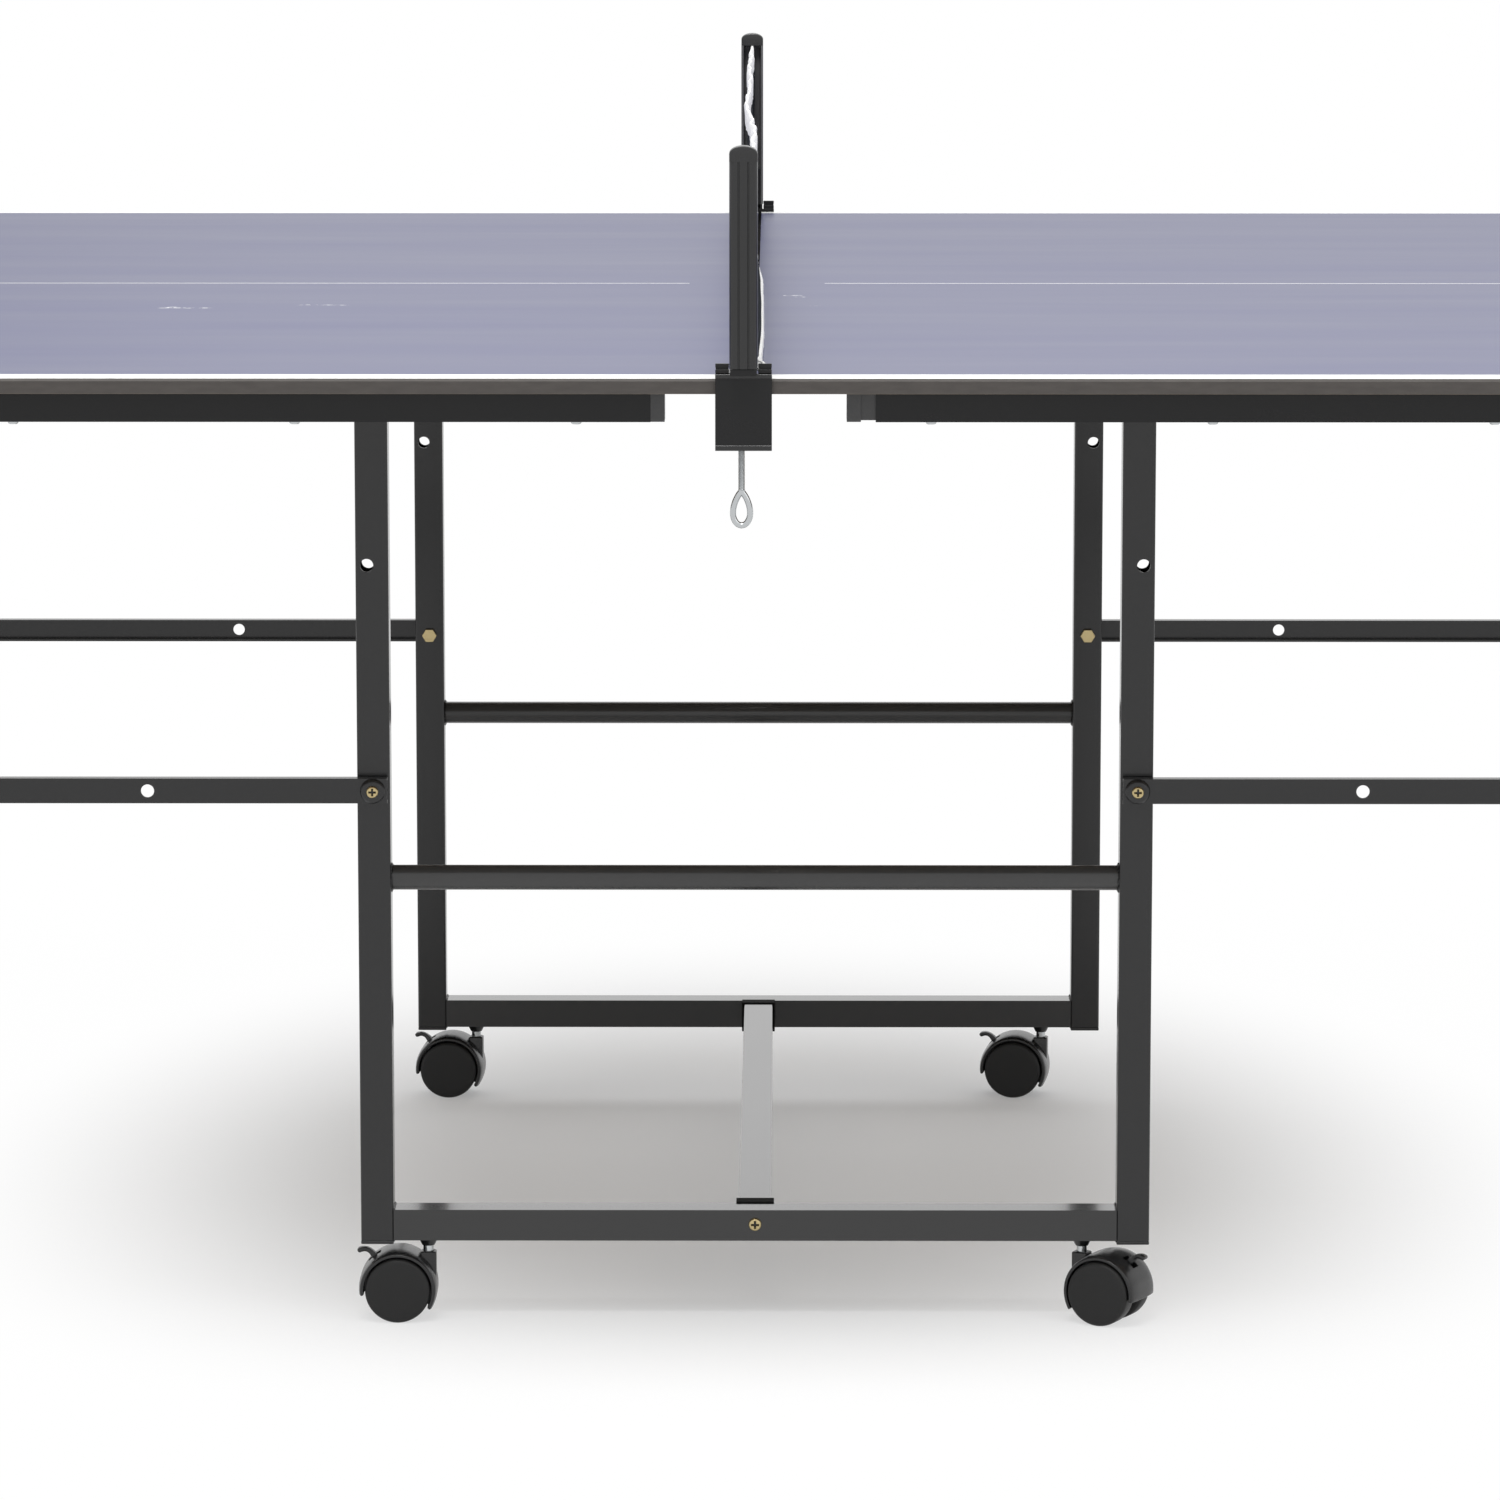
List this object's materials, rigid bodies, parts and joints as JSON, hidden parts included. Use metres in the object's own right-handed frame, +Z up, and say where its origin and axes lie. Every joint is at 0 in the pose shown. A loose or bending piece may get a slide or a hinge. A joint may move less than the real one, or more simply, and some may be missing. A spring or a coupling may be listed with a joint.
{
  "type": "ping pong table",
  "caption": "Folding roll-away ping pong table: board halves on a wheeled steel frame with link bars, legs that fold with them, braked casters and a clamped net.",
  "frame": {"origin": "on the floor under the middle of the seam", "axes": "+X along the table, +Y across it away from the picture's camera, +Z up"},
  "size_m": [2.74, 1.555, 0.9235],
  "materials": {
    "black_steel": "satin black powder coat",
    "yellow_zinc": "yellow zinc plate",
    "bright_zinc": "bright zinc plate",
    "black_plastic": "moulded, matt",
    "rubber": "matt",
    "blue_board": "painted fibreboard, low gloss",
    "net_cloth": "knotted net with a white tape"
  },
  "bodies": {
    "frame": {"near_left_post": "black_steel", "near_right_post": "black_steel", "far_left_post": "black_steel", "far_right_post": "black_steel", "post_plugs": "black_plastic", "rungs": "black_steel", "near_bottom_rail": "black_steel", "far_bottom_rail": "black_steel", "crossbar": "black_steel", "crossbar_brackets": "black_steel", "crossbar_bolts": "yellow_zinc", "bar_pivot_bolts": "yellow_zinc", "pivot_washers": "black_plastic", "caster_sockets": "black_plastic", "caster_stems": "bright_zinc"},
    "left_half": {"left_top": "blue_board", "left_side_rails": "black_steel", "left_rail_caps": "black_plastic", "left_cross_rails": "black_steel", "left_hinge_brackets": "black_steel", "left_hinge_pins": "bright_zinc", "left_rail_screws": "bright_zinc", "net_clamps": "black_steel", "net_posts": "black_steel", "net_post_caps": "black_plastic", "net": "net_cloth"},
    "left_leg_set": {"left_legs": "black_steel", "left_leg_rung": "black_steel", "left_feet": "rubber"},
    "left_bar_set": {"left_bars": "black_steel", "left_bar_bolts": "yellow_zinc"},
    "right_half": {"right_top": "blue_board", "right_side_rails": "black_steel", "right_rail_caps": "black_plastic", "right_cross_rails": "black_steel", "right_hinge_brackets": "black_steel", "right_hinge_pins": "bright_zinc", "right_rail_screws": "bright_zinc"},
    "right_leg_set": {"right_legs": "black_steel", "right_leg_rung": "black_steel", "right_feet": "rubber"},
    "right_bar_set": {"right_bars": "black_steel", "right_bar_bolts": "yellow_zinc"},
    "near_left_caster": {"near_left_caster_hood": "black_plastic"},
    "near_left_wheels": {"near_left_caster_wheels": "black_plastic"},
    "near_left_brake": {"near_left_caster_brake": "black_plastic"},
    "near_right_caster": {"near_right_caster_hood": "black_plastic"},
    "near_right_wheels": {"near_right_caster_wheels": "black_plastic"},
    "near_right_brake": {"near_right_caster_brake": "black_plastic"},
    "far_left_caster": {"far_left_caster_hood": "black_plastic"},
    "far_left_wheels": {"far_left_caster_wheels": "black_plastic"},
    "far_left_brake": {"far_left_caster_brake": "black_plastic"},
    "far_right_caster": {"far_right_caster_hood": "black_plastic"},
    "far_right_wheels": {"far_right_caster_wheels": "black_plastic"},
    "far_right_brake": {"far_right_caster_brake": "black_plastic"},
    "near_pad": {"near_clamp_pad": "rubber"},
    "near_screw": {"near_clamp_screw": "bright_zinc"},
    "far_pad": {"far_clamp_pad": "rubber"},
    "far_screw": {"far_clamp_screw": "bright_zinc"}
  },
  "joints": [
    {"name": "left_fold", "type": "hinge", "parent": "frame", "child": "left_half", "pos_m": [-0.2895, 0, 0.7275], "axis": [0, 1, 0], "range_deg": [0, 88.68], "deforming": ["net"]},
    {"name": "left_leg_turn", "type": "hinge", "parent": "left_half", "child": "left_leg_set", "pos_m": [-1.1595, 0, 0.7275], "axis": [0, 1, 0], "range_deg": [-88.69, 0]},
    {"name": "left_bar_swing", "type": "hinge", "parent": "frame", "child": "left_bar_set", "pos_m": [-0.2895, 0, 0.414], "axis": [0, 1, 0], "range_deg": [0, 88.69]},
    {"name": "right_fold", "type": "hinge", "parent": "frame", "child": "right_half", "pos_m": [0.2895, 0, 0.7275], "axis": [0, -1, 0], "range_deg": [0, 88.68]},
    {"name": "right_leg_turn", "type": "hinge", "parent": "right_half", "child": "right_leg_set", "pos_m": [1.1595, 0, 0.7275], "axis": [0, -1, 0], "range_deg": [-88.69, 0]},
    {"name": "right_bar_swing", "type": "hinge", "parent": "frame", "child": "right_bar_set", "pos_m": [0.2895, 0, 0.414], "axis": [0, -1, 0], "range_deg": [0, 88.69]},
    {"name": "near_left_swivel", "type": "hinge", "parent": "frame", "child": "near_left_caster", "pos_m": [-0.251, -0.4245, 0.045], "axis": [0, 0, 1], "continuous": true},
    {"name": "near_left_roll", "type": "hinge", "parent": "near_left_caster", "child": "near_left_wheels", "pos_m": [-0.274, -0.4245, 0.025], "axis": [0, -1, 0], "continuous": true},
    {"name": "near_left_brake_press", "type": "hinge", "parent": "near_left_caster", "child": "near_left_brake", "pos_m": [-0.29136, -0.4245, 0.04722], "axis": [0, -1, 0], "range_deg": [0, 20]},
    {"name": "near_right_swivel", "type": "hinge", "parent": "frame", "child": "near_right_caster", "pos_m": [0.251, -0.4245, 0.045], "axis": [0, 0, 1], "continuous": true},
    {"name": "near_right_roll", "type": "hinge", "parent": "near_right_caster", "child": "near_right_wheels", "pos_m": [0.27131, -0.4353, 0.025], "axis": [0.4695, 0.8829, 0], "continuous": true},
    {"name": "near_right_brake_press", "type": "hinge", "parent": "near_right_caster", "child": "near_right_brake", "pos_m": [0.28664, -0.44345, 0.04722], "axis": [0.4695, 0.8829, 0], "range_deg": [0, 20]},
    {"name": "far_left_swivel", "type": "hinge", "parent": "frame", "child": "far_left_caster", "pos_m": [-0.251, 0.4245, 0.045], "axis": [0, 0, 1], "continuous": true},
    {"name": "far_left_roll", "type": "hinge", "parent": "far_left_caster", "child": "far_left_wheels", "pos_m": [-0.27394, 0.4261, 0.025], "axis": [-0.0698, -0.9976, 0], "continuous": true},
    {"name": "far_left_brake_press", "type": "hinge", "parent": "far_left_caster", "child": "far_left_brake", "pos_m": [-0.29126, 0.42732, 0.04722], "axis": [-0.0698, -0.9976, 0], "range_deg": [0, 20]},
    {"name": "far_right_swivel", "type": "hinge", "parent": "frame", "child": "far_right_caster", "pos_m": [0.251, 0.4245, 0.045], "axis": [0, 0, 1], "continuous": true},
    {"name": "far_right_roll", "type": "hinge", "parent": "far_right_caster", "child": "far_right_wheels", "pos_m": [0.22822, 0.4277, 0.025], "axis": [-0.1392, -0.9903, 0], "continuous": true},
    {"name": "far_right_brake_press", "type": "hinge", "parent": "far_right_caster", "child": "far_right_brake", "pos_m": [0.21103, 0.43012, 0.04722], "axis": [-0.1392, -0.9903, 0], "range_deg": [0, 20]},
    {"name": "near_pad_travel", "type": "slide", "parent": "left_half", "child": "near_pad", "axis": [0, 0, -1], "range_m": [0, 0.01601]},
    {"name": "near_screw_turn", "type": "hinge", "parent": "near_pad", "child": "near_screw", "pos_m": [-0.0085, -0.7485, 0.7], "axis": [0, 0, -1], "range_deg": [0, 7200]},
    {"name": "far_pad_travel", "type": "slide", "parent": "left_half", "child": "far_pad", "axis": [0, 0, -1], "range_m": [0, 0.01601]},
    {"name": "far_screw_turn", "type": "hinge", "parent": "far_pad", "child": "far_screw", "pos_m": [-0.0085, 0.7485, 0.7], "axis": [0, 0, -1], "range_deg": [0, 7200]}
  ],
  "couplings": [
    {"joint": "left_leg_turn", "follows": "left_fold", "ratio": -1},
    {"joint": "left_bar_swing", "follows": "left_fold", "ratio": 1},
    {"joint": "right_leg_turn", "follows": "right_fold", "ratio": -1},
    {"joint": "right_bar_swing", "follows": "right_fold", "ratio": 1},
    {"joint": "near_pad_travel", "follows": "near_screw_turn", "m_per_rad": 0.00012732},
    {"joint": "far_pad_travel", "follows": "far_screw_turn", "m_per_rad": 0.00012732}
  ]
}
